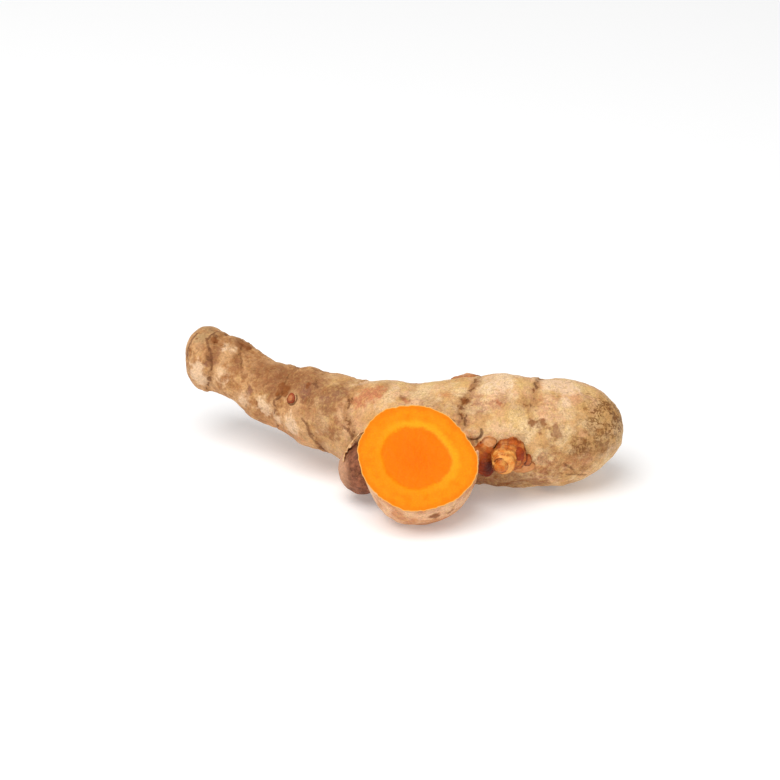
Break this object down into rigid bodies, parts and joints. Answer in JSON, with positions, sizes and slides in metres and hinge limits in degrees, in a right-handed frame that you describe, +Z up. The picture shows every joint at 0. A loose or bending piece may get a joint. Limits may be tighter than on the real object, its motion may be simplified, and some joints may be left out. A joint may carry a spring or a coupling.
{
  "type": "turmeric root",
  "caption": "Fresh turmeric rhizome with leaf-scar rings, one end bent up and a fat side finger cut through to show orange flesh.",
  "frame": {"origin": "on the table that it lies on, under the middle of its footprint", "axes": "+X along the rhizome towards its thick blunt end, -Y to the side that the cut finger grows to, +Z up"},
  "size_m": [0.0996, 0.0618, 0.0262],
  "materials": {
    "skin": "matte, tan with pinkish and yellowish patches, brown leaf-scar rings and root scars, fine grain; the cut face is moist bright orange flesh with a darker core"
  },
  "bodies": {
    "root": {"turmeric_rhizome": "skin"}
  },
  "joints": []
}
